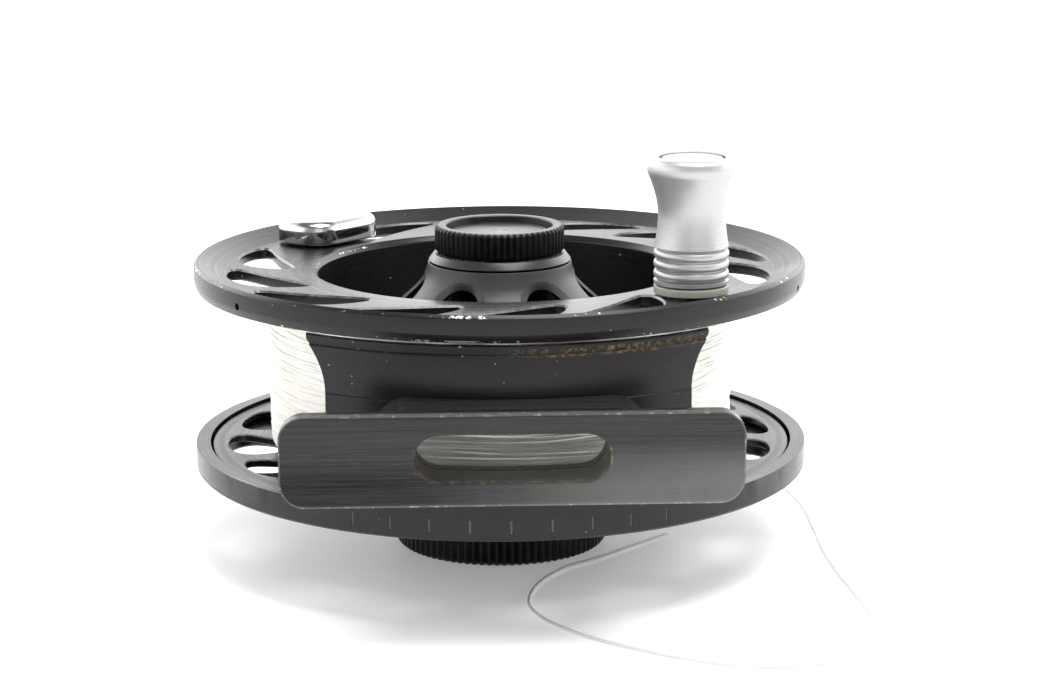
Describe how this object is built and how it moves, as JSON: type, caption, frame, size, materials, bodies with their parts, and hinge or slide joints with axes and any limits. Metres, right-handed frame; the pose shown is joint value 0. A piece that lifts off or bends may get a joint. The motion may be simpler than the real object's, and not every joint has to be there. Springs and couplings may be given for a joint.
{
  "type": "fly reel",
  "caption": "Large-arbor fly fishing reel with ported spool, screw-on release cap, rear drag knob, crank handle, counterweight and slotted foot.",
  "frame": {"origin": "on the reel axis, at the flat face of the drag knob that the reel lies on", "axes": "+Z along the spool axis from the drag knob towards the handle; the reel foot is towards -Y and runs along X"},
  "size_m": [0.0998, 0.1173, 0.0644],
  "materials": {
    "black_anodised": "black anodised, satin, with bright wear on the front edges",
    "black_knurl": "black anodised knurl",
    "satin_aluminium": "clear anodised, fine turned satin",
    "polished_steel": "polished",
    "stainless_steel": "turned",
    "spring_steel": "spring temper",
    "carbon_disc": "carbon friction material",
    "washer_polymer": "pale greenish translucent polymer",
    "black_acetal": "black acetal",
    "seal_rubber": "black nitrile",
    "bronze_bush": "sintered bronze",
    "white_line": "off-white braided backing",
    "loose_line": "clear off-white line"
  },
  "bodies": {
    "frame": {"frame": "black_anodised", "reel_foot": "black_anodised", "foot_screw_left": "stainless_steel", "foot_screw_right": "stainless_steel", "spindle": "stainless_steel", "spindle_nut": "stainless_steel", "drag_housing": "black_anodised", "housing_screw_1": "stainless_steel", "housing_screw_2": "stainless_steel", "housing_screw_3": "stainless_steel", "housing_lid": "black_anodised", "lid_seal": "seal_rubber", "stator_disc_1": "stainless_steel", "stator_disc_2": "stainless_steel", "click_bracket": "bronze_bush", "click_spring": "spring_steel", "loose_line": "loose_line"},
    "drive_hub": {"drive_hub": "stainless_steel", "one_way_clutch": "stainless_steel", "hub_bearing_lower": "stainless_steel", "hub_bearing_upper": "stainless_steel", "friction_disc_1": "carbon_disc", "friction_disc_2": "carbon_disc", "friction_disc_3": "carbon_disc", "click_ring": "stainless_steel"},
    "spool": {"spool": "black_anodised", "hub_collar": "black_anodised", "spool_bushing": "bronze_bush", "line_pack": "white_line", "counterweight": "polished_steel", "counterweight_screw": "stainless_steel", "handle_post": "stainless_steel", "handle_washer": "washer_polymer"},
    "handle": {"handle_knob": "satin_aluminium", "handle_bushing": "bronze_bush", "handle_cap": "satin_aluminium"},
    "cap_washer": {"cap_washer": "black_acetal"},
    "release_cap": {"release_cap": "black_knurl", "cap_inlay": "black_anodised"},
    "drag_knob": {"drag_knob": "black_knurl", "knob_face_plate": "black_anodised", "knob_screw": "stainless_steel"},
    "pressure_train": {"thrust_nut": "bronze_bush", "push_pin_1": "stainless_steel", "push_pin_2": "stainless_steel", "push_pin_3": "stainless_steel", "pressure_plate": "stainless_steel", "spring_washer_1": "spring_steel", "spring_washer_2": "spring_steel"},
    "click_pawl": {"click_pawl": "stainless_steel"}
  },
  "joints": [
    {"name": "spool_spin", "type": "hinge", "parent": "frame", "child": "drive_hub", "pos_m": [0, 0, 0.03], "axis": [0, 0, 1], "continuous": true},
    {"name": "spool_lift", "type": "slide", "parent": "drive_hub", "child": "spool", "axis": [0, 0, 1], "range_m": [0, 0.045], "deforming": ["loose_line"]},
    {"name": "handle_spin", "type": "hinge", "parent": "spool", "child": "handle", "pos_m": [0.0274, -0.02441, 0.055], "axis": [0, 0, 1], "continuous": true},
    {"name": "cap_rise", "type": "slide", "parent": "spool", "child": "cap_washer", "axis": [0, 0, 1], "range_m": [0, 0.003]},
    {"name": "cap_turn", "type": "hinge", "parent": "cap_washer", "child": "release_cap", "pos_m": [0, 0, 0.0485], "axis": [0, 0, 1], "range_deg": [0, 1080]},
    {"name": "drag_turn", "type": "hinge", "parent": "frame", "child": "drag_knob", "pos_m": [0, 0, 0.006], "axis": [0, 0, 1], "range_deg": [-150, 150]},
    {"name": "pressure_slide", "type": "slide", "parent": "frame", "child": "pressure_train", "axis": [0, 0, 1], "range_m": [-0.00026, 0.00026]},
    {"name": "click_travel", "type": "slide", "parent": "frame", "child": "click_pawl", "axis": [1, 0, 0], "range_m": [0, 0.0003], "stiffness_N_per_m": 200, "deforming": ["click_spring"]}
  ],
  "couplings": [
    {"joint": "pressure_slide", "follows": "drag_turn", "m_per_rad": 0.000095493},
    {"joint": "cap_rise", "follows": "cap_turn", "m_per_rad": 0.00015915}
  ]
}
